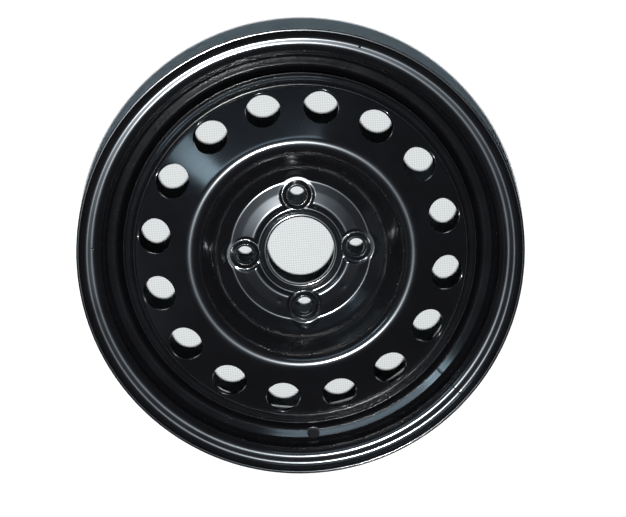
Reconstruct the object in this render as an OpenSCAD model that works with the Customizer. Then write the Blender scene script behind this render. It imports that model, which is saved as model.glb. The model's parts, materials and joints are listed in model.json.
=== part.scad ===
// Pressed steel car wheel: a rolled rim band with a pressed disc seated in its well.
// The wheel axis is Z and the side seen from outside the car faces up.
// The origin is the centre of the mounting face, where the wheel meets the hub.

/* [Rim band] */
// Bead seat diameter where the seat line meets the flange face
bead_seat_d = 380.2; // [350:0.1:420]
// Width between the two flange faces
rim_w = 152.4; // [135:0.1:190]
// Sheet thickness of the rim band
rim_t = 2.5; // [1.8:0.1:3.2]
// Height of the flanges above the bead seat diameter
flange_h = 17.3; // [16:0.1:19]
// Outside radius of the flange curl
curl_r = 9.5; // [8:0.1:11]
// Straight edge beyond the curl
lip_l = 2.5; // [1:0.1:5]
// Depth of the drop well below the bead seat diameter
well_h = 17.3; // [15:0.1:19]
// Distance of the mounting face from the middle of the rim, towards the outside
offset_d = 35; // [28:0.5:40]

/* [Disc] */
// Sheet thickness of the pressed disc
disc_t = 3.6; // [3:0.1:4.2]
// Height of the crown above the mounting face
crown_z = 47; // [40:0.5:52]
// Width of the bowl, from the hub plane to the top of the crown
bowl_w = 36.8; // [29:0.1:42]
// Bend radius of the crown
crown_r = 13; // [9:0.5:16]
// Fall of the vented slope outside the crown, in degrees
slope_a = 22; // [15:0.5:26]
// Margin of the hub plane outside the bolt circle
hub_margin = 14.6; // [12:0.1:18]
// Distance from the mounting face to the rear edge of the disc flange
skirt_l = 34; // [28:0.5:40]
// Gap left between the disc flange and the rim well
seat_gap = 0.15; // [0.05:0.01:0.3]

/* [Vents] */
// Number of round vents
vent_n = 16; // [8:1:18]
// Vent diameter
vent_d = 33; // [20:0.5:36]
// Radius of the vent ring
vent_ring_r = 139; // [134:0.5:140]

/* [Hub] */
// Centre bore diameter
bore_d = 65.1; // [56:0.1:68]
// Bolt circle diameter
pcd = 108; // [104:0.1:110]
// Number of bolts
bolt_n = 4; // [3:1:5]
// Bolt hole diameter
bolt_d = 15.8; // [13:0.1:17]
// Diameter of the bolt seat at its mouth
seat_d = 19.2; // [18:0.1:21]
// Height of the bolt seat mouth above the pad round it
seat_h = 2.6; // [1.5:0.1:4]
// Radius of the flat pad round a bolt hole
pad_r = 14.6; // [13:0.1:16]
// Height of the lands between the bolt pads
land_h = 2.1; // [1:0.1:2.6]
// Height of the collar round the bore above the pads
collar_h = 3.2; // [1.5:0.1:5]

/* [Valve and welds] */
// Valve hole diameter
valve_d = 11.5; // [9:0.1:16]
// Number of weld beads between disc and rim
weld_n = 4; // [2:1:8]
// Arc of one weld bead, in degrees
weld_a = 22; // [10:1:36]
// Leg of a weld bead
weld_leg = 3.4; // [2.5:0.1:4.5]

/* [Hidden] */
// Largest turn of one straight step in a bend, in degrees
bend_step = 9;
// Bead seat fall towards the well, in degrees
bead_a = 5;
bead_l = 19.2;
// Low safety hump at the end of each bead seat, and the bends round it
hump_h = 1.1;
hump_l = 4.2;
hump_foot_r = 8;
hump_r = 6;
// Bend between bead seat and flange
heel_r = 6.5;
bead_r = bead_seat_d / 2;
flange_r = bead_r + flange_h;
well_r = bead_r - well_h;
well_in_r = well_r - rim_t;
mid_z = -offset_d;
out_z = mid_z + rim_w / 2;
in_z = mid_z - rim_w / 2;
lip_w = curl_r + lip_l;

seat_end_r = bead_r - bead_l * tan(bead_a);

// Well floor, from its outer to its inner corner, with the bends at both
well_top_z = -16;
well_floor_l = 36;
well_outer_r = 26;
well_inner_r = 8;
// Outer shoulder of the slope that carries the valve hole
shoulder_drop = 2;
shoulder_in = 28.7;
shoulder_bend_r = 8;
shoulder_r = bead_r - shoulder_drop;
shoulder_z = out_z - shoulder_in;
// Level ledge between the well and the inner bead seat
ledge_drop = 5.6;
ledge_in = 41.2;
ledge_rise = 1.6;
ledge_foot_l = 9.6;
ledge_bend_r = 12;
ledge_end_r = 10;
ledge_r = bead_r - ledge_drop;
ledge_z = in_z + ledge_in;

// Disc seat in the well
skirt_r = well_in_r - seat_gap;
bolt_ring_r = pcd / 2;
bowl_r = bolt_ring_r + hub_margin;
crown_ring_r = bowl_r + bowl_w;
bore_r = bore_d / 2;
pad_z = disc_t;
// Shelf inside the disc flange, and the break of the slope above it
shelf_w = 8.55;
shelf_fall = 1.2;
shelf_bend_r = 4;
break_w = 4;
break_h = 10.1;
break_bend_r = 6;
shelf_r = skirt_r - shelf_w;
break_r = shelf_r - break_w;
// Bend from the shelf into the disc flange
skirt_bend_r = 6.2;
// Foot of the steep bowl wall, measured from the fold of the bowl
wall_foot_w = 15.4;
wall_foot_h = 9.4;
wall_foot_bend_r = 20;
bowl_bend_r = 5;
wall_foot_r = bowl_r + wall_foot_w;
wall_foot_z = pad_z + wall_foot_h;

// Rear ends of the disc flange stand back between the weld beads
relief_d = 9;
relief_r = 62;

function unit(v) = v / norm(v);
function left_of(v) = [-v[1], v[0]];
function turned(v, a) = [v[0] * cos(a) - v[1] * sin(a), v[0] * sin(a) + v[1] * cos(a)];
function flat_point(p) = [p[0], p[1]];

// Points of one bend at corner b, at distance d to the left of the sheet line
function bend(a, b, c, d) =
    let (u = unit(flat_point(b - a)), w = unit(flat_point(c - b)))
    let (side = u[0] * w[1] - u[1] * w[0] < 0 ? -1 : 1)
    let (turn = acos(min(1, u * w)), r = b[2])
    let (start = flat_point(b) - u * r * tan(turn / 2))
    let (centre = start + left_of(u) * r * side)
    let (n = max(1, ceil(turn / bend_step)))
    [for (i = [0:n]) centre - turned(left_of(u), side * turn * i / n) * side * (r - side * d)];

// Sheet line through corners [radius, height, bend radius], moved left by d
function sheet_line(path, d) =
    let (last = len(path) - 1)
    let (u0 = unit(flat_point(path[1] - path[0])))
    let (u1 = unit(flat_point(path[last] - path[last - 1])))
    concat(
        [flat_point(path[0]) + left_of(u0) * d],
        [for (i = [1:last - 1]) each bend(path[i - 1], path[i], path[i + 1], d)],
        [flat_point(path[last]) + left_of(u1) * d]);

function reversed(list) = [for (i = [len(list) - 1:-1:0]) list[i]];

// Cross section of a sheet of one thickness on the right of its line
module sheet_section(path, t) {
    polygon(concat(sheet_line(path, 0), reversed(sheet_line(path, -t))));
}

// Tyre side of the rim band, from the outer lip to the inner lip
rim_path = [
    [flange_r, out_z + lip_w, 0],
    [flange_r, out_z, curl_r],
    [bead_r, out_z, heel_r],
    [seat_end_r, out_z - bead_l, hump_foot_r],
    [seat_end_r + hump_h, out_z - bead_l - hump_l, hump_r],
    [shoulder_r, shoulder_z, shoulder_bend_r],
    [well_r, well_top_z, well_outer_r],
    [well_r, well_top_z - well_floor_l, well_inner_r],
    [ledge_r, ledge_z, ledge_bend_r],
    [ledge_r + ledge_rise, in_z + bead_l + hump_l + ledge_foot_l, ledge_end_r],
    [seat_end_r + hump_h, in_z + bead_l + hump_l, hump_r],
    [seat_end_r, in_z + bead_l, hump_foot_r],
    [bead_r, in_z, heel_r],
    [flange_r, in_z, curl_r],
    [flange_r, in_z - lip_w, 0]
];

// Middle of the valve hole on the inner face of the slope
slope_dir = unit([well_r - shoulder_r, well_top_z - shoulder_z]);
slope_tilt = atan2(-left_of(slope_dir)[1], left_of(slope_dir)[0]);
valve_in = 7.2;
valve_p = [shoulder_r, shoulder_z] + slope_dir * valve_in;

module valve_cut() {
    rotate([0, 0, 270])
        translate([valve_p[0], 0, valve_p[1]])
            rotate([0, 90 + slope_tilt, 0])
                cylinder(d = valve_d, h = 6 * rim_t, center = true, $fn = 64);
}

module rim() {
    color([0.05, 0.05, 0.055])
        difference() {
            rotate_extrude($fn = 180)
                sheet_section(rim_path, rim_t);
            valve_cut();
        }
}

// Line of the vented slope, and the corner it makes with the steep bowl wall
slope_top = [crown_ring_r + crown_r * sin(slope_a), crown_z - crown_r + crown_r * cos(slope_a)];
function slope_z(r) = slope_top[1] - (r - slope_top[0]) * tan(slope_a);
crown_from_foot = [crown_ring_r - wall_foot_r, crown_z - crown_r - wall_foot_z];
wall_a = atan2(crown_from_foot[1], crown_from_foot[0]) + asin(crown_r / norm(crown_from_foot));
crown_corner_r = (slope_z(0) - wall_foot_z + wall_foot_r * tan(wall_a)) / (tan(wall_a) + tan(slope_a));

// Land between the pads, from its inner to its outer toe across the bolt circle
land_in_w = 8.6;
land_out_w = 9.2;
land_bank = 3.2;
land_toe_r = 2.5;
land_edge_r = 5;
land_top_r = 24;
land_arch = 1.3;
land_in_r = bolt_ring_r - land_in_w;
land_out_r = bolt_ring_r + land_out_w;
land_mid_r = (land_in_r + land_out_r) / 2;

// Collar round the bore, coined up from the sheet
collar_w = 7.15;
collar_flat = 2.4;
collar_bevel = 0.5;
collar_step = 1.2;
collar_edge = 1.6;
collar_root = 0.7;
bore_chamfer = 0.6;
collar_out_r = bore_r + collar_w;
// Both sheets meet under the groove between the collar and the lands
groove_r = (collar_out_r + land_in_r) / 2;
sheet_lap = 2;

// Front face of the disc, from the groove to the rear edge of its flange
disc_path = [
    [groove_r - sheet_lap, pad_z, 0],
    [land_in_r, pad_z, land_toe_r],
    [land_in_r + land_bank, pad_z + land_h, land_edge_r],
    [land_mid_r, pad_z + land_h * land_arch, land_top_r],
    [land_out_r - land_bank, pad_z + land_h, land_edge_r],
    [land_out_r, pad_z, land_toe_r],
    [bowl_r, pad_z, bowl_bend_r],
    [wall_foot_r, wall_foot_z, wall_foot_bend_r],
    [crown_corner_r, slope_z(crown_corner_r), crown_r],
    [break_r, slope_z(break_r), break_bend_r],
    [shelf_r, slope_z(break_r) - break_h, shelf_bend_r],
    [skirt_r, slope_z(break_r) - break_h - shelf_fall, skirt_bend_r],
    [skirt_r, -skirt_l, 0]
];

module collar_section() {
    top = pad_z + collar_h;
    difference() {
        polygon([
            [bore_r + bore_chamfer, 0],
            [groove_r, 0],
            [groove_r, pad_z],
            [collar_out_r + collar_bevel, pad_z],
            [collar_out_r, pad_z + collar_root],
            [collar_out_r - collar_step, pad_z + collar_step],
            [bore_r + collar_flat + 2 * collar_bevel, top - collar_bevel],
            [bore_r + collar_flat, top],
            [bore_r, top],
            [bore_r, bore_chamfer]
        ]);
        translate([bore_r, top - collar_edge])
            difference() {
                translate([-1, 0])
                    square([collar_edge + 1, collar_edge + 1]);
                translate([collar_edge, 0])
                    circle(r = collar_edge, $fn = 48);
            }
    }
}

module at_bolts() {
    for (i = [0:bolt_n - 1])
        rotate([0, 0, i * 360 / bolt_n])
            translate([bolt_ring_r, 0, 0])
                children();
}

// Vents are punched square to the slope
module vent_cuts() {
    for (i = [0:vent_n - 1])
        rotate([0, 0, (i + 0.5) * 360 / vent_n])
            translate([vent_ring_r, 0, slope_z(vent_ring_r)])
                rotate([0, slope_a, 0])
                    cylinder(d = vent_d, h = 6 * disc_t, center = true, $fn = 96);
}

// Room above a bolt pad, with a sloping bank round it
pad_cut_h = 8;
pad_bank_a = 35;
module pad_cut() {
    translate([0, 0, pad_z])
        cylinder(r1 = pad_r, r2 = pad_r + pad_cut_h * tan(pad_bank_a), h = pad_cut_h, $fn = 96);
}

// Pocket in the bowl wall beside a pad, as room for a wheel spanner
pocket_shift = 2;
pocket_r = 20;
pocket_h = 8;
pocket_toe = 0.9;
module pocket_cone(grow, z0, z1) {
    foot_r = pocket_r + z0 - pad_z + grow;
    translate([-pocket_shift, 0, z0])
        cylinder(r1 = foot_r, r2 = foot_r + z1 - z0, h = z1 - z0, $fn = 128);
}

// Room of all pockets, outside the toe of the lands
module pocket_cuts() {
    difference() {
        at_bolts()
            pocket_cone(0, pad_z, pad_z + pocket_h);
        cylinder(r = land_out_r + pocket_toe, h = 3 * pocket_h, $fn = 180);
    }
}

// Sheet behind the pockets, kept under the front face of the bowl
pocket_cover = 1.2;
module pocket_backs() {
    intersection() {
        at_bolts()
            pocket_cone(disc_t * sqrt(2), 0, pad_z + pocket_h);
        rotate_extrude($fn = 180)
            polygon([
                [land_out_r - pocket_toe, 0],
                [land_out_r - pocket_toe, pad_z - pocket_cover],
                [bowl_r, pad_z - pocket_cover],
                [wall_foot_r, wall_foot_z - pocket_cover],
                [wall_foot_r, 0]
            ]);
    }
}

// Raised boss round a bolt hole, and the cone that takes the bolt head
seat_bank = 2.4;
seat_rim = 0.5;
module bolt_seat() {
    cylinder(r = seat_d / 2 + seat_bank, h = pad_z, $fn = 96);
    translate([0, 0, pad_z])
        cylinder(r1 = seat_d / 2 + seat_bank, r2 = seat_d / 2 + seat_rim, h = seat_h, $fn = 96);
}

seat_half_a = 30;
seat_cone_h = (seat_d - bolt_d) / 2 / tan(seat_half_a);
module bolt_cut() {
    top = pad_z + seat_h;
    translate([0, 0, -disc_t])
        cylinder(d = bolt_d, h = top + 2 * disc_t, $fn = 96);
    translate([0, 0, top - seat_cone_h])
        cylinder(d1 = bolt_d, d2 = seat_d, h = seat_cone_h, $fn = 96);
    translate([0, 0, top])
        cylinder(d = seat_d, h = disc_t, $fn = 96);
}

// Two shallow round marks of the press in the lands: offset from the bolt circle, and angle
dimple_at = [[0.4, 316], [-0.7, 243]];
dimple_r = 5.5;
dimple_deep = 0.7;
land_top_h = 1.25 * land_h;
module dimple_cuts() {
    for (p = dimple_at)
        rotate([0, 0, p[1]])
            translate([bolt_ring_r + p[0], 0, pad_z + land_top_h + dimple_r - dimple_deep])
                sphere(r = dimple_r, $fn = 64);
}

// Shallow arcs that set back the flange between the welds
module relief_cuts() {
    for (i = [0:weld_n - 1])
        rotate([0, 0, (i + 0.5) * 360 / weld_n])
            translate([skirt_r / 2, 0, -skirt_l - relief_r + relief_d])
                rotate([0, 90, 0])
                    cylinder(r = relief_r, h = skirt_r, $fn = 128);
}

module disc() {
    color([0.06, 0.06, 0.065])
        difference() {
            union() {
                difference() {
                    union() {
                        rotate_extrude($fn = 180)
                            sheet_section(disc_path, disc_t);
                        rotate_extrude($fn = 180)
                            collar_section();
                        at_bolts()
                            cylinder(r = pad_r + 0.6, h = pad_z, $fn = 96);
                        pocket_backs();
                    }
                    at_bolts()
                        pad_cut();
                    pocket_cuts();
                }
                at_bolts()
                    bolt_seat();
            }
            at_bolts()
                bolt_cut();
            vent_cuts();
            dimple_cuts();
            relief_cuts();
        }
}

// One bead in the corner between the disc flange edge and the well wall, its face swelling out
weld_gap = 0.02;
weld_foot = 1.3 * weld_leg;
weld_face = [for (a = [0:22.5:90]) [skirt_r - weld_leg * cos(a), -skirt_l - weld_gap - weld_foot * sin(a)]];
module weld_bead() {
    rotate([0, 0, -weld_a / 2])
        rotate_extrude(angle = weld_a, $fn = 180)
            polygon(concat([[skirt_r, -skirt_l - weld_gap]], weld_face));
}

module welds() {
    color([0.12, 0.12, 0.12])
        for (i = [0:weld_n - 1])
            rotate([0, 0, i * 360 / weld_n])
                weld_bead();
}

rim();
disc();
welds();
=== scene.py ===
"""Pressed steel car wheel without a tyre, lying outer side up on a pale woven cloth.

The rim band and the disc are spun from the lines of their sheet, the lands, pockets and marks are pressed into
the disc, the holes are punched through both, and four weld beads join them. Sizes are in millimetres and are
turned to metres where a mesh is made. Z is the wheel axis and the mounting face is at height 0.
"""

import json
import logging
import math
from collections.abc import Callable
from dataclasses import dataclass, field
from enum import Enum

import bpy
from mathutils import Matrix, Vector

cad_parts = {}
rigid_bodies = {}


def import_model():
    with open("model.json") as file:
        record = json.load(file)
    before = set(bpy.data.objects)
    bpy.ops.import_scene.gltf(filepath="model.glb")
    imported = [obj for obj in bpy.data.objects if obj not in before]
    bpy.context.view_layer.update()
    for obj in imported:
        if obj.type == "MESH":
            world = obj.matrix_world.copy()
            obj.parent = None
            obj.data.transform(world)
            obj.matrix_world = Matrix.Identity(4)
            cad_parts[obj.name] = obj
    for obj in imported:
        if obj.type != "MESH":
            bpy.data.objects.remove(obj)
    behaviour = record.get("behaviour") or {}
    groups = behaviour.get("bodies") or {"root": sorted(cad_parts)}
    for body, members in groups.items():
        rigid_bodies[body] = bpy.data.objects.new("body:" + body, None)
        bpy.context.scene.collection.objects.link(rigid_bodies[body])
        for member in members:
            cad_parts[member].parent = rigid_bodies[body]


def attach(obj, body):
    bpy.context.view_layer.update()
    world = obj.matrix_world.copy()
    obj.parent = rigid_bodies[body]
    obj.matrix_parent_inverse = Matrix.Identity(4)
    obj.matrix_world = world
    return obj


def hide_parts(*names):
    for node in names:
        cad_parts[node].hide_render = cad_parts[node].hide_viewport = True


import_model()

LOG = logging.getLogger("wheel")
MM = 0.001
# Points nearer than this to the unpunched sheet lie on its face
SAME_FACE_MM = 0.01
Point = tuple[float, float]


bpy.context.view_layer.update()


def select_only(*pieces: bpy.types.Object) -> None:
    """Deselects everything, selects these pieces and makes the first one active.

    Args:
        pieces: The objects to work on.
    """
    for other in bpy.context.view_layer.objects:
        other.select_set(False)
    for piece in pieces:
        piece.select_set(True)
    bpy.context.view_layer.objects.active = pieces[0]


def apply_modifier(piece: bpy.types.Object, kind: str, **settings: object) -> None:
    """Adds a modifier to a piece and applies it.

    Args:
        piece: The object that is shaped.
        kind: Blender's name of the modifier type.
        settings: Values set on the modifier.
    """
    select_only(piece)
    modifier = piece.modifiers.new(kind.lower(), kind)
    for name, value in settings.items():
        setattr(modifier, name, value)
    bpy.ops.object.modifier_apply(modifier=modifier.name)


def smooth_share(x: float) -> float:
    """A soft step from 0 at x = 0 to 1 at x = 1."""
    x = min(1.0, max(0.0, x))
    return x * x * (3.0 - 2.0 * x)


@dataclass(frozen=True)
class Corner:
    """A corner of a sheet line in millimetres, with the radius that it is bent to."""

    r: float
    z: float
    bend: float = 0.0


@dataclass(frozen=True)
class SheetLine:
    """The line that one face of a bent sheet follows, seen in a cut through the wheel axis."""

    corners: tuple[Corner, ...]
    turn_step: float = 7.0

    def face(self, depth: float, spacing: Callable[[float, float], float]) -> list[Point]:
        """Points along the face that lies at a depth under the line.

        Args:
            depth: Distance to the right of the line.
            spacing: Longest straight step at a place, given its radius and height.

        Returns:
            Points from the first corner to the last.
        """
        stops: list[Point] = []
        last = len(self.corners) - 1
        for i, corner in enumerate(self.corners):
            here = Vector((corner.r, corner.z))
            if i in (0, last):
                other = self.corners[1] if i == 0 else self.corners[last - 1]
                along = (Vector((other.r, other.z)) - here).normalized() * (1 if i == 0 else -1)
                stops.append(tuple(here + Vector((along.y, -along.x)) * depth))
                continue
            stops.extend(self._bend(self.corners[i - 1], corner, self.corners[i + 1], depth))
        return self._filled(stops, spacing)

    def _bend(self, a: Corner, b: Corner, c: Corner, depth: float) -> list[Point]:
        """Points of one bend at corner b, at a depth under the line."""
        u = (Vector((b.r, b.z)) - Vector((a.r, a.z))).normalized()
        w = (Vector((c.r, c.z)) - Vector((b.r, b.z))).normalized()
        side = -1.0 if u.x * w.y - u.y * w.x < 0 else 1.0
        turn = math.acos(max(-1.0, min(1.0, u.dot(w))))
        left = Vector((-u.y, u.x))
        start = Vector((b.r, b.z)) - u * b.bend * math.tan(turn / 2)
        centre = start + left * b.bend * side
        count = max(1, math.ceil(math.degrees(turn) / self.turn_step))
        reach = b.bend + side * depth
        return [
            tuple(centre - Matrix.Rotation(side * turn * i / count, 2) @ left * side * reach)
            for i in range(count + 1)
        ]

    @staticmethod
    def _filled(stops: list[Point], spacing: Callable[[float, float], float]) -> list[Point]:
        """The same points with straight stretches split into short steps."""
        filled = [stops[0]]
        for (r0, z0), (r1, z1) in zip(stops, stops[1:]):
            length = math.hypot(r1 - r0, z1 - z0)
            if length < 1e-4:
                continue
            parts = max(1, math.ceil(length / spacing((r0 + r1) / 2, (z0 + z1) / 2) - 1e-6))
            filled += [(r0 + (r1 - r0) * k / parts, z0 + (z1 - z0) * k / parts) for k in range(1, parts + 1)]
        return filled


def height_on(line: list[Point], r: float) -> float:
    """Height of a line at a radius, where the line's radii only grow.

    Args:
        line: Points in order of radius.
        r: Radius in millimetres.

    Returns:
        The height between the two nearest points, or that of the nearer end.
    """
    if r <= line[0][0]:
        return line[0][1]
    for (r0, z0), (r1, z1) in zip(line, line[1:]):
        if r <= r1:
            return z0 + (z1 - z0) * (r - r0) / max(1e-9, r1 - r0)
    return line[-1][1]


def rounded(before: Point, corner: Point, after: Point, radius: float, steps: int = 3) -> list[Point]:
    """Points that round a sheared corner of an outline.

    Args:
        before: A point on the side that leads to the corner.
        corner: The sharp corner.
        after: A point on the side that leaves it.
        radius: Distance from the corner at which the rounding starts.
        steps: Straight steps in the rounding.

    Returns:
        Points of a smooth curve from one side to the other.
    """
    c = Vector(corner)
    p = c + (Vector(before) - c).normalized() * radius
    q = c + (Vector(after) - c).normalized() * radius
    curve = []
    for i in range(steps + 1):
        t = i / steps
        curve.append(tuple(p * (1 - t) ** 2 + c * 2 * t * (1 - t) + q * t * t))
    return curve


def spun(name: str, outline: list[Point], steps: int, arc: float = 360.0, on_axis: bool = False) -> bpy.types.Object:
    """Spins an outline round the Z axis into a closed mesh.

    Args:
        name: Name of the piece.
        outline: Closed outline as radius and height in millimetres. With on_axis it starts and ends on the axis.
        steps: Steps round the axis.
        arc: Degrees of the spin. Below 360 both ends are filled.
        on_axis: Whether the edge that closes the outline lies on the axis.

    Returns:
        The new object, at the origin.
    """
    bpy.ops.object.select_all(action="DESELECT")
    bpy.ops.mesh.primitive_circle_add(vertices=len(outline), radius=1.0)
    piece = bpy.context.object
    piece.name = name
    piece.data.name = name
    for vertex, (r, z) in zip(piece.data.vertices, outline):
        vertex.co = (r * MM, 0.0, z * MM)
    select_only(piece)
    bpy.ops.object.mode_set(mode="EDIT")
    bpy.ops.mesh.select_all(action="SELECT")
    if on_axis:
        bpy.ops.mesh.select_mode(type="EDGE")
        bpy.ops.mesh.select_all(action="DESELECT")
        bpy.ops.object.mode_set(mode="OBJECT")
        ends = {0, len(outline) - 1}
        for edge in piece.data.edges:
            edge.select = set(edge.vertices) == ends
        bpy.ops.object.mode_set(mode="EDIT")
        bpy.ops.mesh.delete(type="EDGE")
        bpy.ops.mesh.select_mode(type="VERT")
        bpy.ops.mesh.select_all(action="SELECT")
    bpy.ops.mesh.spin(steps=steps, angle=math.radians(arc), center=(0, 0, 0), axis=(0, 0, 1))
    bpy.ops.mesh.select_all(action="SELECT")
    bpy.ops.mesh.remove_doubles(threshold=1e-6)
    if arc < 360.0:
        bpy.ops.mesh.select_all(action="DESELECT")
        bpy.ops.mesh.select_non_manifold()
        bpy.ops.mesh.edge_face_add()
        bpy.ops.mesh.select_all(action="SELECT")
    bpy.ops.mesh.normals_make_consistent(inside=False)
    bpy.ops.object.mode_set(mode="OBJECT")
    return piece


def placed_copies(tool: bpy.types.Object, places: list[Matrix]) -> bpy.types.Object:
    """One mesh that holds a copy of a tool at each place. The tool itself is removed.

    Args:
        tool: The tool, modelled at the origin.
        places: Where each copy goes, in metres.

    Returns:
        The joined copies.
    """
    copies = []
    for place in places:
        copy = tool.copy()
        copy.data = tool.data.copy()
        copy.data.transform(place)
        bpy.context.scene.collection.objects.link(copy)
        copies.append(copy)
    bpy.data.objects.remove(tool)
    select_only(*copies)
    if len(copies) > 1:
        bpy.ops.object.join()
    return copies[0]


class Cut(Enum):
    """How a tool changes a piece."""

    PUNCH = "DIFFERENCE"
    ADD = "UNION"


def worked(piece: bpy.types.Object, tool: bpy.types.Object, cut: Cut) -> None:
    """Punches a tool out of a piece or adds it, and removes the tool.

    Args:
        piece: The sheet that is worked.
        tool: A closed mesh.
        cut: Whether metal is taken away or added.
    """
    apply_modifier(piece, "BOOLEAN", operation=cut.value, object=tool, solver="EXACT")
    bpy.data.objects.remove(tool)


@dataclass(frozen=True)
class PressForm:
    """One form of the press tool: how far it moves the sheet, and its share of that at each place."""

    name: str
    height: float
    share: Callable[[Vector], float]
    direction: str = "Z"

    def press(self, piece: bpy.types.Object) -> None:
        """Moves the sheet.

        Args:
            piece: The sheet that is pressed.
        """
        group = piece.vertex_groups.new(name=self.name)
        for vertex in piece.data.vertices:
            share = self.share(vertex.co / MM)
            if share > 0.0:
                group.add([vertex.index], share, "REPLACE")
        apply_modifier(
            piece,
            "DISPLACE",
            vertex_group=self.name,
            strength=self.height * MM,
            mid_level=0.0,
            direction=self.direction,
        )
        piece.vertex_groups.remove(piece.vertex_groups[self.name])


def hole_tool(name: str, radius: float, reach: float, edge: float, sides: int) -> bpy.types.Object:
    """A round punch along Z whose upper part flares, so that the punched edge is drawn in.

    Args:
        name: Name of the tool.
        radius: Radius of the hole.
        reach: Length of the punch to each side of the sheet face at height 0.
        edge: Radius of the drawn-in edge.
        sides: Sides of the punch.

    Returns:
        The tool, with the sheet face at height 0.
    """
    flare = [
        (radius + edge * (1 - math.cos(a)), -edge * (1 - math.sin(a)))
        for a in (math.radians(15 * i) for i in range(7))
    ]
    outline = [(0.0, -reach), (radius, -reach), *flare, (radius + edge, reach), (0.0, reach)]
    return spun(name, outline, sides, on_axis=True)


def turned_to(r: float, z: float, tilt: float, around: float) -> Matrix:
    """Place of a tool that stands on a point of the wheel.

    Args:
        r: Radius of the point in millimetres.
        z: Height of the point in millimetres.
        tilt: Lean of the tool away from the axis in degrees.
        around: Angle round the axis in degrees.

    Returns:
        The matrix, in metres.
    """
    return (
        Matrix.Rotation(math.radians(around), 4, "Z")
        @ Matrix.Translation((r * MM, 0.0, z * MM))
        @ Matrix.Rotation(math.radians(tilt), 4, "Y")
    )


def linear_colour(text: str) -> tuple[float, float, float, float]:
    """An sRGB hex colour as the linear numbers that a shader takes.

    Args:
        text: A colour such as #0C0C0E.

    Returns:
        Red, green, blue and an alpha of 1.
    """
    parts = [int(text[i : i + 2], 16) / 255 for i in (1, 3, 5)]
    return (*(p / 12.92 if p <= 0.04045 else ((p + 0.055) / 1.055) ** 2.4 for p in parts), 1.0)


def add_node(tree: bpy.types.NodeTree, kind: str, inputs: dict | None = None, **settings: object) -> bpy.types.Node:
    """Adds a node with its settings and links.

    Args:
        tree: The tree that gets the node.
        kind: Blender's type name of the node.
        inputs: Values or sockets for the node's inputs, by name or number.
        settings: Values set on the node itself.

    Returns:
        The new node.
    """
    node = tree.nodes.new(kind)
    for name, value in settings.items():
        setattr(node, name, value)
    for socket, value in (inputs or {}).items():
        if isinstance(value, bpy.types.NodeSocket):
            tree.links.new(value, node.inputs[socket])
        else:
            node.inputs[socket].default_value = value
    return node


def new_material(name: str) -> tuple[bpy.types.Material, bpy.types.NodeTree]:
    """An empty material with nodes.

    Args:
        name: Name of the finish.

    Returns:
        The material and its node tree.
    """
    material = bpy.data.materials.new(name)
    material.use_nodes = True
    material.node_tree.nodes.clear()
    return material, material.node_tree


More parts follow.
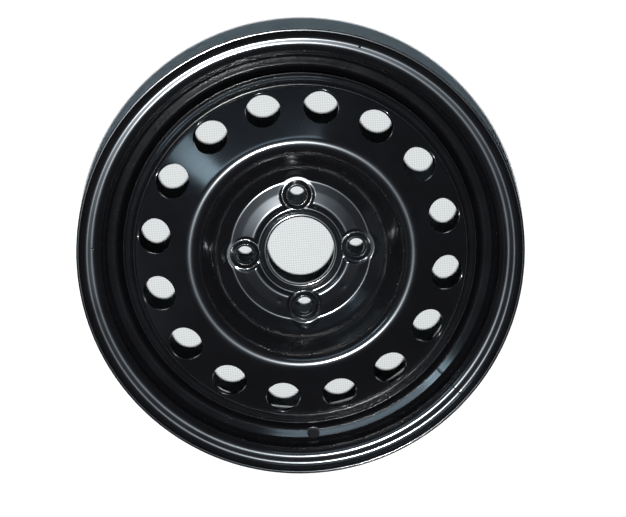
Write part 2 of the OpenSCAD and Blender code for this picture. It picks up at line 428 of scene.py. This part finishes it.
@dataclass(frozen=True)
class StoveEnamel:
    """Black stove enamel, dipped and baked on pressed steel: a hard gloss skin with a faint orange peel."""

    name: str = "black_stove_enamel"
    colour: str = "#0B0B0C"
    thin_colour: str = "#121215"
    haze_ior: float = 1.26
    skin_ior: float = 1.55
    # Bluish tint of the haze's reflections: a painted bluish colour of the reflected light, the enamel itself
    # reflects without tint
    painted_reflection_tint: str = "#D8ECFC"
    roughness: float = 0.27
    skin_roughness: float = 0.135
    peel_mm: float = 0.5
    peel_depth_mm: float = 0.0004
    ripple_mm: float = 24.0
    ripple_depth_mm: float = 0.001
    seam_angle: float | None = None
    seam_mm: float = 1.6
    seam_height_mm: float = 0.14
    pits: tuple[tuple[float, float, float, float], ...] = ()
    pit_depth_mm: float = 0.25

    def material(self) -> bpy.types.Material:
        """Makes the finish.

        Returns:
            The material.
        """
        material, tree = new_material(self.name)
        place = add_node(tree, "ShaderNodeTexCoord").outputs["Object"]
        # The skin flows as it bakes, which leaves a fine peel, and the sheet under it has slow waves
        peel = add_node(
            tree, "ShaderNodeTexNoise", {"Vector": place, "Scale": 1 / (self.peel_mm * MM), "Detail": 1.0}
        )
        ripple = add_node(
            tree, "ShaderNodeTexNoise", {"Vector": place, "Scale": 1 / (self.ripple_mm * MM), "Detail": 0.0}
        )
        waves = add_node(
            tree,
            "ShaderNodeBump",
            {"Height": ripple.outputs[0], "Distance": self.ripple_depth_mm * MM, "Strength": 1.0},
        )
        skin = add_node(
            tree,
            "ShaderNodeBump",
            {
                "Height": peel.outputs[0],
                "Distance": self.peel_depth_mm * MM,
                "Strength": 1.0,
                "Normal": waves.outputs[0],
            },
        )
        face = skin.outputs[0]
        if self.seam_angle is not None:
            face = self.seam(tree, place, face)
        for pit in self.pits:
            face = self.pit(tree, place, face, pit)
        # Dust nibs and handling leave the gloss a little uneven
        haze = add_node(
            tree, "ShaderNodeTexNoise", {"Vector": place, "Scale": 1 / (35 * MM), "Detail": 4.0, "Roughness": 0.6}
        )
        rough = add_node(
            tree,
            "ShaderNodeMapRange",
            {0: haze.outputs[0], 1: 0.3, 2: 0.7, 3: self.roughness * 0.85, 4: self.roughness * 1.2},
        )
        tone = add_node(
            tree,
            "ShaderNodeMix",
            {0: haze.outputs[0], 6: linear_colour(self.colour), 7: linear_colour(self.thin_colour)},
            data_type="RGBA",
        )
        shader = add_node(
            tree,
            "ShaderNodeBsdfPrincipled",
            {
                "Base Color": tone.outputs[2],
                "Roughness": rough.outputs[0],
                "Normal": face,
                "IOR": self.haze_ior,
                # The haze reflects with a painted bluish tint of the light
                "Specular Tint": linear_colour(self.painted_reflection_tint),
                "Coat Weight": 1.0,
                "Coat Roughness": self.skin_roughness,
                "Coat IOR": self.skin_ior,
                "Coat Normal": face,
            },
        )
        add_node(tree, "ShaderNodeOutputMaterial", {"Surface": shader.outputs[0]})
        return material

    def seam(
        self, tree: bpy.types.NodeTree, place: bpy.types.NodeSocket, face: bpy.types.NodeSocket
    ) -> bpy.types.NodeSocket:
        """Lets the ground butt weld of the band stand out as a low ridge along one angle.

        Args:
            tree: The paint's node tree.
            place: Socket with the place on the wheel.
            face: Socket with the face direction so far.

        Returns:
            Socket with the new face direction.
        """
        turned = add_node(
            tree,
            "ShaderNodeVectorRotate",
            {"Vector": place, "Axis": (0.0, 0.0, 1.0), "Angle": -math.radians(self.seam_angle)},
        )
        parts = add_node(tree, "ShaderNodeSeparateXYZ", {0: turned.outputs[0]})
        off = add_node(tree, "ShaderNodeMath", {0: parts.outputs["Y"]}, operation="ABSOLUTE")
        ridge = add_node(
            tree,
            "ShaderNodeMapRange",
            {0: off.outputs[0], 1: 0.0, 2: self.seam_mm * MM, 3: 1.0, 4: 0.0},
            interpolation_type="SMOOTHSTEP",
        )
        ahead = add_node(tree, "ShaderNodeMath", {0: parts.outputs["X"], 1: 0.0}, operation="GREATER_THAN")
        height = add_node(tree, "ShaderNodeMath", {0: ridge.outputs[0], 1: ahead.outputs[0]}, operation="MULTIPLY")
        return add_node(
            tree,
            "ShaderNodeBump",
            {"Height": height.outputs[0], "Distance": self.seam_height_mm * MM, "Normal": face},
        ).outputs[0]

    def pit(
        self,
        tree: bpy.types.NodeTree,
        place: bpy.types.NodeSocket,
        face: bpy.types.NodeSocket,
        pit: tuple[float, float, float, float],
    ) -> bpy.types.NodeSocket:
        """Sinks one small pit into the paint.

        Args:
            tree: The paint's node tree.
            place: Socket with the place on the wheel.
            face: Socket with the face direction so far.
            pit: Centre and radius in millimetres.

        Returns:
            Socket with the new face direction.
        """
        centre = tuple(x * MM for x in pit[:3])
        away = add_node(tree, "ShaderNodeVectorMath", {0: place, 1: centre}, operation="DISTANCE")
        height = add_node(
            tree,
            "ShaderNodeMapRange",
            {0: away.outputs["Value"], 1: 0.0, 2: pit[3] * MM, 3: 0.0, 4: 1.0},
            interpolation_type="SMOOTHSTEP",
        )
        return add_node(
            tree,
            "ShaderNodeBump",
            {"Height": height.outputs[0], "Distance": self.pit_depth_mm * MM, "Normal": face},
        ).outputs[0]


@dataclass(frozen=True)
class WovenCloth:
    """Bleached cotton cloth in plain weave, matt, which shows as a fine grid."""

    # The thread and gap colours are darker than the white round the wheel: painted shade under the wheel over the
    # weave's own pattern
    colour: str = "#DCDFE0"
    gap_colour: str = "#BEC2C3"
    open_colour: str = "#FFFFFF"
    painted_shade_r_mm: float = 200.0
    thread_mm: float = 2.5
    depth_mm: float = 0.2

    def material(self) -> bpy.types.Material:
        """Makes the finish.

        Returns:
            The material.
        """
        material, tree = new_material("woven_cloth")
        place = add_node(tree, "ShaderNodeTexCoord").outputs["Object"]
        bands = []
        for direction in ("X", "Y"):
            bands.append(
                add_node(
                    tree,
                    "ShaderNodeTexWave",
                    {"Vector": place, "Scale": 0.314 / (self.thread_mm * MM), "Distortion": 0.0},
                    bands_direction=direction,
                ).outputs[1]
            )
        weave = add_node(tree, "ShaderNodeMath", {0: bands[0], 1: bands[1]}, operation="MULTIPLY")
        tone = add_node(
            tree,
            "ShaderNodeMix",
            {0: weave.outputs[0], 6: linear_colour(self.gap_colour), 7: linear_colour(self.colour)},
            data_type="RGBA",
        )
        # Under the wheel the cloth and its weave are painted darker, a painted shade of the wheel; round the wheel
        # the cloth is burnt out to plain white
        parts = add_node(tree, "ShaderNodeSeparateXYZ", {0: place})
        flat = add_node(tree, "ShaderNodeCombineXYZ", {0: parts.outputs[0], 1: parts.outputs[1]})
        away = add_node(tree, "ShaderNodeVectorMath", {0: flat.outputs[0]}, operation="LENGTH")
        outside = add_node(
            tree,
            "ShaderNodeMapRange",
            {0: away.outputs["Value"], 1: (self.painted_shade_r_mm - 12) * MM, 2: self.painted_shade_r_mm * MM},
        )
        ground = add_node(
            tree,
            "ShaderNodeMix",
            {0: outside.outputs[0], 6: tone.outputs[2], 7: linear_colour(self.open_colour)},
            data_type="RGBA",
        )
        bump = add_node(tree, "ShaderNodeBump", {"Height": weave.outputs[0], "Distance": self.depth_mm * MM})
        shader = add_node(
            tree,
            "ShaderNodeBsdfPrincipled",
            {"Base Color": ground.outputs[2], "Roughness": 0.95, "Normal": bump.outputs[0]},
        )
        shader.inputs["Specular IOR Level"].default_value = 0.1
        add_node(tree, "ShaderNodeOutputMaterial", {"Surface": shader.outputs[0]})
        return material


def smoothed(piece: bpy.types.Object, crease: float = 50.0) -> None:
    """Shades a piece smooth and keeps its creases.

    Args:
        piece: The mesh.
        crease: Edges sharper than this many degrees stay sharp.
    """
    select_only(piece)
    bpy.ops.object.shade_smooth_by_angle(angle=math.radians(crease))


def punched(piece: bpy.types.Object, tool: bpy.types.Object, near: Callable[[Vector], bool]) -> None:
    """Punches holes through a sheet and lets it shine beside them as it did before.

    Args:
        piece: The sheet, which is shaded smooth here.
        tool: All the punches as one closed mesh.
        near: Whether a place in millimetres is beside a hole.
    """
    whole = piece.copy()
    whole.data = piece.data.copy()
    bpy.context.scene.collection.objects.link(whole)
    worked(piece, tool, Cut.PUNCH)
    smoothed(whole)
    smoothed(piece)
    group = piece.vertex_groups.new(name="beside_holes")
    group.add([v.index for v in piece.data.vertices if near(v.co / MM)], 1.0, "REPLACE")
    apply_modifier(
        piece,
        "DATA_TRANSFER",
        object=whole,
        vertex_group=group.name,
        use_loop_data=True,
        data_types_loops={"CUSTOM_NORMAL"},
        loop_mapping="POLYINTERP_NEAREST",
        use_max_distance=True,
        max_distance=SAME_FACE_MM * MM,
    )
    piece.vertex_groups.remove(piece.vertex_groups["beside_holes"])
    bpy.data.objects.remove(whole)


def finish(piece: bpy.types.Object, node: str, material: bpy.types.Material) -> None:
    """Dresses a piece and ties it to the frame.

    Args:
        piece: The finished and shaded mesh.
        node: The CAD node that it stands for.
        material: Its finish.
    """
    piece.data.materials.clear()
    piece.data.materials.append(material)
    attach(piece, "root")
    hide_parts(node)
    piece.data.calc_loop_triangles()
    LOG.info("%s: %d triangles", piece.name, len(piece.data.loop_triangles))


@dataclass
class RimBand:
    """The rolled and butt welded rim band with two flanges, two bead seats and a drop well."""

    bead_seat_d: float = 380.2
    width: float = 152.4
    thickness: float = 2.5
    flange_h: float = 17.3
    curl_r: float = 9.5
    lip_w: float = 12.0
    well_h: float = 17.3
    offset: float = 35.0
    bead_a: float = 5.0
    bead_l: float = 19.2
    hump_h: float = 1.1
    hump_l: float = 4.2
    heel_r: float = 6.5
    well_top_z: float = -14.0
    well_floor_l: float = 38.0
    shoulder_drop: float = 3.8
    shoulder_in: float = 30.8
    bench_drop: float = 11.8
    bench_in: float = 35.6
    ledge_drop: float = 5.6
    ledge_in: float = 41.2
    ledge_rise: float = 1.6
    ledge_foot_l: float = 9.6
    edge: float = 0.7
    valve_d: float = 11.5
    valve_in: float = 5.4
    steps: int = 288

    @property
    def bead_r(self) -> float:
        """Radius where the bead seat meets the flange."""
        return self.bead_seat_d / 2

    @property
    def well_in_r(self) -> float:
        """Radius of the well's inner wall."""
        return self.bead_r - self.well_h - self.thickness

    @property
    def out_z(self) -> float:
        """Height of the outer flange face."""
        return self.width / 2 - self.offset

    def line(self) -> SheetLine:
        """The tyre side of the band, from the outer lip to the inner lip."""
        in_z = self.out_z - self.width
        flange_r = self.bead_r + self.flange_h
        seat_end_r = self.bead_r - self.bead_l * math.tan(math.radians(self.bead_a))
        well_r = self.bead_r - self.well_h
        ledge_r = self.bead_r - self.ledge_drop
        hump = self.bead_l + self.hump_l
        return SheetLine(
            (
                Corner(flange_r, self.out_z + self.lip_w),
                Corner(flange_r, self.out_z, self.curl_r),
                Corner(self.bead_r, self.out_z, self.heel_r),
                Corner(seat_end_r, self.out_z - self.bead_l, 8),
                Corner(seat_end_r + self.hump_h, self.out_z - hump, 6),
                Corner(self.bead_r - self.shoulder_drop, self.out_z - self.shoulder_in, 3.5),
                Corner(self.bead_r - self.bench_drop, self.out_z - self.bench_in, 4),
                Corner(well_r, self.well_top_z, 10),
                Corner(well_r, self.well_top_z - self.well_floor_l, 8),
                Corner(ledge_r, in_z + self.ledge_in, 12),
                Corner(ledge_r + self.ledge_rise, in_z + hump + self.ledge_foot_l, 10),
                Corner(seat_end_r + self.hump_h, in_z + hump, 6),
                Corner(seat_end_r, in_z + self.bead_l, 8),
                Corner(self.bead_r, in_z, self.heel_r),
                Corner(flange_r, in_z, self.curl_r),
                Corner(flange_r, in_z - self.lip_w),
            )
        )

    def outline(self) -> list[Point]:
        """The closed cut through the band, with its sheared edges rounded."""
        line = self.line()
        outer = line.face(0.0, lambda r, z: 3.5)
        inner = line.face(self.thickness, lambda r, z: 3.5)[::-1]
        low = rounded(outer[-2], outer[-1], inner[0], self.edge) + rounded(outer[-1], inner[0], inner[1], self.edge)
        top = rounded(inner[-2], inner[-1], outer[0], self.edge) + rounded(inner[-1], outer[0], outer[1], self.edge)
        return outer[1:-1] + low + inner[1:-1] + top

    def valve_place(self) -> Matrix:
        """Where the valve hole stands on the inner face of the slope between shoulder and well."""
        shoulder = Vector((self.bead_r - self.shoulder_drop, self.out_z - self.shoulder_in))
        foot = Vector((self.bead_r - self.bench_drop, self.out_z - self.bench_in))
        along = (foot - shoulder).normalized()
        normal = Vector((along.y, -along.x))
        point = shoulder + along * self.valve_in + normal * self.thickness
        return turned_to(point.x, point.y, math.degrees(math.atan2(normal.x, normal.y)), 270.0)

    def build(self) -> bpy.types.Object:
        """Models the band and punches the valve hole.

        Returns:
            The finished mesh.
        """
        band = spun("rim_band", self.outline(), self.steps)
        punch = hole_tool("valve_punch", self.valve_d / 2, 8.0, 0.5, 48)
        place = self.valve_place()
        middle = place.translation / MM
        punched(band, placed_copies(punch, [place]), lambda at: (at - middle).length < 2 * self.valve_d)
        return band


@dataclass
class WheelDisc:
    """The pressed disc: hub plane with bolt pads and lands, bowl, crown, vented slope and flange."""

    rim: RimBand = field(default_factory=RimBand)
    thickness: float = 3.6
    crown_z: float = 47.0
    bowl_w: float = 36.8
    crown_r: float = 13.0
    slope_a: float = 22.0
    hub_margin: float = 14.6
    skirt_l: float = 34.0
    seat_gap: float = 0.15
    shelf_w: float = 8.55
    shelf_fall: float = 1.2
    break_w: float = 4.0
    break_h: float = 10.1
    wall_foot_w: float = 15.4
    wall_foot_h: float = 9.4
    vent_n: int = 16
    vent_d: float = 33.0
    vent_ring_r: float = 139.0
    vent_edge: float = 0.9
    bore_d: float = 65.1
    pcd: float = 108.0
    bolt_n: int = 4
    bolt_d: float = 15.8
    seat_d: float = 19.2
    seat_h: float = 2.6
    seat_half_a: float = 30.0
    pad_r: float = 14.6
    pad_bank_w: float = 2.3
    land_h: float = 2.1
    land_in_w: float = 8.6
    land_out_w: float = 9.2
    land_bank: float = 4.6
    land_fall: float = 0.75
    collar_h: float = 3.2
    collar_w: float = 7.15
    pocket_shift: float = 2.0
    pocket_r: float = 20.0
    pocket_depth: float = 3.0
    relief_r: float = 62.0
    relief_d: float = 9.0
    dimples: tuple[Point, ...] = ((54.4, 316.0), (53.3, 243.0))
    dimple_r: float = 2.9
    dimple_deep: float = 0.28
    edge: float = 0.5
    steps: int = 296

    def __post_init__(self) -> None:
        """Works out the places that follow from the sizes."""
        self.bore_r = self.bore_d / 2
        self.bolt_r = self.pcd / 2
        self.bowl_r = self.bolt_r + self.hub_margin
        self.crown_ring_r = self.bowl_r + self.bowl_w
        self.skirt_r = self.rim.well_in_r - self.seat_gap
        self.shelf_r = self.skirt_r - self.shelf_w
        self.break_r = self.shelf_r - self.break_w
        self.foot_r = self.bowl_r + self.wall_foot_w
        self.foot_z = self.thickness + self.wall_foot_h
        self.land_in_r = self.bolt_r - self.land_in_w
        self.land_out_r = self.bolt_r + self.land_out_w
        self.collar_r = self.bore_r + self.collar_w
        self.front = self.line().face(0.0, self.front_spacing)
        self.land = self.land_line().face(0.0, lambda r, z: 0.5)

    def slope_z(self, r: float) -> float:
        """Height of the vented slope's front face at a radius."""
        a = math.radians(self.slope_a)
        top_r = self.crown_ring_r + self.crown_r * math.sin(a)
        top_z = self.crown_z - self.crown_r + self.crown_r * math.cos(a)
        return top_z - (r - top_r) * math.tan(a)

    def crown_corner(self) -> Corner:
        """The corner that the steep bowl wall makes with the slope."""
        run = self.crown_ring_r - self.foot_r
        rise = self.crown_z - self.crown_r - self.foot_z
        wall = math.atan2(rise, run) + math.asin(self.crown_r / math.hypot(run, rise))
        fall = math.tan(math.radians(self.slope_a))
        r = (self.slope_z(0) - self.foot_z + self.foot_r * math.tan(wall)) / (math.tan(wall) + fall)
        return Corner(r, self.slope_z(r), self.crown_r)

    def line(self) -> SheetLine:
        """The front face of the disc, from the collar's foot to the rear edge of the flange."""
        shelf_z = self.slope_z(self.break_r) - self.break_h
        return SheetLine(
            (
                Corner(self.collar_r + 0.5, self.thickness),
                Corner(self.bowl_r, self.thickness, 5),
                Corner(self.foot_r, self.foot_z, 20),
                self.crown_corner(),
                Corner(self.break_r, self.slope_z(self.break_r), 6),
                Corner(self.shelf_r, shelf_z, 4),
                Corner(self.skirt_r, shelf_z - self.shelf_fall, 6.2),
                Corner(self.skirt_r, -self.skirt_l),
            )
        )

    def land_line(self) -> SheetLine:
        """The front face of a land between two bolt pads, from its inner to its outer toe."""
        z = self.thickness
        top = z + self.land_h
        return SheetLine(
            (
                Corner(self.land_in_r - 5, z),
                Corner(self.land_in_r - 3.2, z, 1.6),
                Corner(self.land_in_r - 0.2, top + self.land_fall, 7),
                Corner(self.land_out_r - self.land_bank, top - self.land_fall, 8),
                Corner(self.land_out_r + 3.8, z, 1.5),
                Corner(self.land_out_r + 5, z),
            )
        )

    def front_spacing(self, r: float, z: float) -> float:
        """Longest step on the front face: fine on the hub and the wall's foot, long on the slope and the flange."""
        if r < self.foot_r + 2:
            return 0.95
        return 2.4 if z > 0 else 4.5

    def rear_spacing(self, r: float, z: float) -> float:
        """Longest step on the rear face."""
        return 2.0 if r < self.foot_r else 4.5

    def collar(self) -> list[Point]:
        """The collar round the bore, coined up from the sheet, from the rear edge of the bore to its foot."""
        top = self.thickness + self.collar_h
        bore = self.bore_r
        mouth = [
            (bore + 1.6 * (1 - math.cos(math.radians(a))), top - 1.6 * (1 - math.sin(math.radians(a))))
            for a in range(0, 91, 15)
        ]
        bank = [
            (bore + 2.4, top),
            (bore + 3.0, top - 0.15),
            (bore + 3.4, top - 0.5),
            (self.collar_r - 1.8, self.thickness + 1.7),
            (self.collar_r - 1.2, self.thickness + 1.3),
            (self.collar_r - 0.4, self.thickness + 1.0),
            (self.collar_r, self.thickness + 0.7),
            (self.collar_r + 0.2, self.thickness + 0.25),
        ]
        return [(bore + 0.6, 0.0), (bore, 0.6), (bore, 2.0), (bore, 3.6), *mouth, *bank]

    def outline(self) -> list[Point]:
        """The closed cut through the disc before the lands are pressed."""
        rear = self.line().face(self.thickness, self.rear_spacing)[::-1]
        front = self.front
        low = rounded(front[-2], front[-1], rear[0], self.edge) + rounded(front[-1], rear[0], rear[1], self.edge)
        hub_rear = [(r, z) for r, z in rear[1:] if r > self.bore_r + 2.5]
        return self.collar() + front[:-1] + low + hub_rear

    def bolt_places(self) -> list[Vector]:
        """Centres of the bolt holes in millimetres."""
        turns = [2 * math.pi * i / self.bolt_n for i in range(self.bolt_n)]
        return [Vector((self.bolt_r * math.cos(a), self.bolt_r * math.sin(a))) for a in turns]

    def land_share(self, place: Vector) -> float:
        """How much of the land's height the sheet has at a place."""
        r = math.hypot(place.x, place.y)
        if not self.land_in_r - 5 < r < self.land_out_r + 5:
            return 0.0
        near = min((place.xy - bolt).length for bolt in self.bolt_places())
        rise = height_on(self.land, r) - self.thickness
        return rise / (self.land_h + self.land_fall) * smooth_share((near - self.pad_r) / self.pad_bank_w)

    def pocket_share(self, place: Vector) -> float:
        """How much of the pocket's depth the bowl wall gives way beside a bolt pad."""
        r = math.hypot(place.x, place.y)
        if not self.bowl_r - 6 < r < self.foot_r + 4 or place.z > self.foot_z + 6:
            return 0.0
        centres = [bolt.normalized() * (self.bolt_r - self.pocket_shift) for bolt in self.bolt_places()]
        near = min((place.xy - centre).length for centre in centres)
        wall = height_on(self.front, r)
        pocket = self.thickness + max(0.0, near - self.pocket_r)
        depth = max(0.0, wall - pocket)
        if place.z < wall - self.thickness / 2:
            depth = min(depth, place.z)
        return min(1.0, depth / self.pocket_depth)

    def dimple_share(self, place: Vector) -> float:
        """How deep the round press marks are at a place of the front face."""
        if place.z < self.thickness:
            return 0.0
        deepest = 0.0
        for r, around in self.dimples:
            centre = Vector((r * math.cos(math.radians(around)), r * math.sin(math.radians(around))))
            deepest = max(deepest, smooth_share(1.15 - (place.xy - centre).length / self.dimple_r))
        return deepest

    def relief_share(self, place: Vector) -> float:
        """How far the rear edge of the flange is set back between the welds."""
        if place.z > -8 or math.hypot(place.x, place.y) < self.skirt_r - 6:
            return 0.0
        around = math.degrees(math.atan2(place.y, place.x)) % 90 - 45
        across = self.skirt_r * math.radians(around)
        if abs(across) >= self.relief_r:
            return 0.0
        back = math.sqrt(self.relief_r**2 - across**2) - self.relief_r + self.relief_d
        return max(0.0, back) / self.relief_d * (-8 - place.z) / (self.skirt_l - 8)

    def boss(self) -> bpy.types.Object:
        """The raised ring round a bolt hole, along Z with its middle at the axis."""
        top = self.thickness + self.seat_h
        outer = self.seat_d / 2
        outline = [
            (0.0, 1.5),
            (outer + 4.9, 1.5),
            (outer + 4.9, self.thickness - 0.03),
            (outer + 4.3, self.thickness + 0.12),
            (outer + 3.6, self.thickness + 0.42),
            (outer + 2.8, self.thickness + 0.9),
            (outer + 1.2, top - 0.55),
            (outer + 0.8, top - 0.2),
            (outer + 0.4, top),
            (0.0, top),
        ]
        return spun("boss", outline, 72, on_axis=True)

    def bolt_punch(self) -> bpy.types.Object:
        """The punch of a bolt hole with its conical seat."""
        top = self.thickness + self.seat_h
        hole = self.bolt_d / 2
        seat = self.seat_d / 2
        cone = (seat - hole) / math.tan(math.radians(self.seat_half_a))
        outline = [
            (0.0, -3.0),
            (hole, -3.0),
            (hole, top - cone),
            (seat - 0.15, top - 0.25),
            (seat + 0.15, top),
            (seat + 0.3, top + 2.0),
            (0.0, top + 2.0),
        ]
        return spun("bolt_punch", outline, 72, on_axis=True)

    def pad_tool(self) -> bpy.types.Object:
        """The tool that clears the collar's foot beside a bolt pad."""
        low = self.thickness + 0.06
        outline = [(0.0, low), (self.pad_r, low), (self.pad_r + 3.5, low + 5.0), (0.0, low + 5.0)]
        return spun("pad_tool", outline, 96, on_axis=True)

    def build(self) -> bpy.types.Object:
        """Models the disc: spins the sheet, presses the forms and punches the holes.

        Returns:
            The finished mesh.
        """
        disc = spun("wheel_disc", self.outline(), self.steps)
        forms = (
            PressForm("lands", self.land_h + self.land_fall, self.land_share),
            PressForm("pockets", -self.pocket_depth, self.pocket_share),
            PressForm("dimples", -self.dimple_deep, self.dimple_share),
            PressForm("relief", self.relief_d, self.relief_share),
        )
        for form in forms:
            form.press(disc)
        at_bolts = [turned_to(self.bolt_r, 0.0, 0.0, 360 * i / self.bolt_n) for i in range(self.bolt_n)]
        worked(disc, placed_copies(self.pad_tool(), at_bolts), Cut.PUNCH)
        worked(disc, placed_copies(self.boss(), at_bolts), Cut.ADD)
        worked(disc, placed_copies(self.bolt_punch(), at_bolts), Cut.PUNCH)
        vents = [
            turned_to(self.vent_ring_r, self.slope_z(self.vent_ring_r), self.slope_a, (i + 0.5) * 360 / self.vent_n)
            for i in range(self.vent_n)
        ]
        punch = hole_tool("vent_punch", self.vent_d / 2, 9.0, self.vent_edge, 96)
        reach = self.vent_d / 2 + 4.0
        punched(disc, placed_copies(punch, vents), lambda at: abs(at.xy.length - self.vent_ring_r) < reach)
        return disc


@dataclass
class WeldBeads:
    """Four short fillet welds between the rear edge of the disc flange and the well."""

    disc: WheelDisc
    count: int = 4
    arc: float = 22.0
    leg: float = 3.4
    rise: float = 1.3
    gap: float = 0.02
    ripple_mm: float = 2.6
    ripple_h: float = 0.35
    taper: float = 1.6

    def outline(self) -> list[Point]:
        """The cut through one bead, its face swelling out."""
        r = self.disc.skirt_r
        z = -self.disc.skirt_l - self.gap
        face = [
            (r - self.leg * math.cos(math.radians(a)), z - self.leg * self.rise * math.sin(math.radians(a)))
            for a in range(0, 91, 15)
        ]
        return [(r, z), (r - self.leg / 2, z), *face, (r, z - self.leg * self.rise / 2)]

    def face_share(self, place: Vector) -> float:
        """How much a point belongs to the free face of a bead, from 0 in the corner to 1."""
        r = math.hypot(place.x, place.y)
        drop = (-self.disc.skirt_l - self.gap - place.z) / (self.leg * self.rise)
        width = (self.disc.skirt_r - r) / self.leg
        return smooth_share(math.hypot(drop, width)) if min(drop, width) > 0.02 else 0.0

    def ripple_share(self, place: Vector) -> float:
        """Share of the ripple: the melt freezes in scales along the bead."""
        along = self.disc.skirt_r * math.atan2(place.y, place.x) / self.ripple_mm
        return self.face_share(place) * (0.5 + 0.5 * math.cos(2 * math.pi * along))

    def end_share(self, place: Vector) -> float:
        """Share of the fall at both ends of a bead."""
        along = abs(math.degrees(math.atan2(place.y, place.x)))
        return self.face_share(place) * smooth_share((along - self.arc / 2 + self.taper) / self.taper)

    def build(self) -> bpy.types.Object:
        """Models one bead, ripples it and copies it round the flange.

        Returns:
            The four beads as one mesh.
        """
        bead = spun("weld_beads", self.outline(), 132, arc=self.arc)
        bead.data.transform(Matrix.Rotation(math.radians(-self.arc / 2), 4, "Z"))
        PressForm("ripples", -self.ripple_h, self.ripple_share, "NORMAL").press(bead)
        PressForm("ends", -self.leg / 2, self.end_share, "NORMAL").press(bead)
        beads = placed_copies(bead, [turned_to(0, 0, 0, 360 * i / self.count) for i in range(self.count)])
        smoothed(beads)
        beads.name = "weld_beads"
        beads.data.name = "weld_beads"
        return beads


@dataclass(frozen=True)
class SoftPanel:
    """A square soft box that looks at the wheel from a direction given round its axis, in degrees and metres."""

    name: str
    from_axis: float
    around: float
    size: tuple[float, float]
    radiance: float
    colour: str = "#E4EEFA"
    distance: float = 2.4

    def hang(self) -> None:
        """Hangs the soft box."""
        lamp = bpy.data.lights.new(self.name, "AREA")
        lamp.shape = "RECTANGLE"
        lamp.size, lamp.size_y = self.size
        lamp.energy = self.radiance * math.pi * self.size[0] * self.size[1]
        lamp.color = linear_colour(self.colour)[:3]
        lean = Matrix.Rotation(math.radians(self.around), 4, "Z") @ Matrix.Rotation(math.radians(self.from_axis), 4, "Y")
        holder = bpy.data.objects.new(self.name, lamp)
        holder.matrix_world = lean @ Matrix.Translation((0.0, 0.0, self.distance))
        holder.visible_camera = False
        bpy.context.scene.collection.objects.link(holder)


@dataclass
class Studio:
    """The pale cloth, the lamps and the camera."""

    floor_z: float = -123.2
    floor_size: float = 6000.0
    photo_width: int = 626
    focal_px: float = 1091.0
    camera_at: tuple[float, float, float] = (-29.03, 137.13, 1050.7)
    camera_turn: float = 3.8
    camera_yaw: float = 2.730
    camera_pitch: float = 7.769
    key_at: tuple[float, float, float] = (-37.7, 62.3, 1126.7)
    key_power: float = 79.0
    key_radius: float = 10.0
    fill_colour: str = "#C0D2E0"
    fill_strength: float = 0.012
    panels: tuple[SoftPanel, ...] = (
        SoftPanel("ceiling", 4.0, -60.0, (1.6, 1.6), 0.02),
        SoftPanel("window_row", 38.0, 106.0, (0.11, 0.95), 4.1, "#C8E4F6", 1.2),
        SoftPanel("window_end", 45.0, 140.0, (0.25, 0.34), 7.6, "#C6E6F6"),
        SoftPanel("side_wall", 62.0, 190.0, (0.8, 2.0), 0.15, "#DDE6EE"),
    )

    def build(self) -> None:
        """Lays the cloth, sets the lamps and the camera."""
        scene = bpy.context.scene
        bpy.ops.object.select_all(action="DESELECT")
        bpy.ops.mesh.primitive_plane_add(size=self.floor_size * MM, location=(0, 0, self.floor_z * MM))
        floor = bpy.context.object
        floor.name = "cloth_floor"
        floor.data.materials.append(WovenCloth().material())
        key = bpy.data.lights.new("key", "POINT")
        key.energy = self.key_power
        key.shadow_soft_size = self.key_radius * MM
        lamp = bpy.data.objects.new("key", key)
        lamp.location = Vector(self.key_at) * MM
        scene.collection.objects.link(lamp)
        for panel in self.panels:
            panel.hang()
        world = bpy.data.worlds.new("studio")
        world.use_nodes = True
        ground = world.node_tree.nodes["Background"]
        ground.inputs[0].default_value = linear_colour(self.fill_colour)
        ground.inputs[1].default_value = self.fill_strength
        scene.world = world
        self.set_camera()
        scene.view_settings.view_transform = "Standard"

    def set_camera(self) -> None:
        """Puts the camera where the photograph was taken from."""
        data = bpy.data.cameras.new("camera")
        data.sensor_fit = "HORIZONTAL"
        data.sensor_width = 36.0
        data.lens = self.focal_px * data.sensor_width / self.photo_width
        camera = bpy.data.objects.new("camera", data)
        bpy.context.scene.collection.objects.link(camera)
        camera.matrix_world = (
            Matrix.Translation(Vector(self.camera_at) * MM)
            @ Matrix.Rotation(math.radians(-self.camera_turn), 4, "Z")
            @ Matrix.Rotation(math.radians(-self.camera_yaw), 4, "Y")
            @ Matrix.Rotation(math.radians(-self.camera_pitch), 4, "X")
        )
        bpy.context.scene.camera = camera


# Small marks in the paint of the outer flange: a chip on the face, a nick on the lip and a speck on the left
BAND_MARKS = ((65.2, 187.8, 43.8, 1.4), (-32.9, 201.8, 48.2, 1.1), (-193.0, 20.3, 43.5, 1.2))


def main() -> None:
    """Builds the wheel piece by piece, then the studio round it."""
    logging.basicConfig(level=logging.INFO, format="%(name)s: %(message)s")
    enamel = StoveEnamel().material()
    band_enamel = StoveEnamel(name="black_stove_enamel_on_welded_band", seam_angle=-45.0, pits=BAND_MARKS).material()
    rim = RimBand()
    disc = WheelDisc(rim=rim)
    finish(rim.build(), "rim", band_enamel)
    finish(disc.build(), "disc", enamel)
    finish(WeldBeads(disc).build(), "welds", enamel)
    Studio().build()


if __name__ == "__main__":
    main()
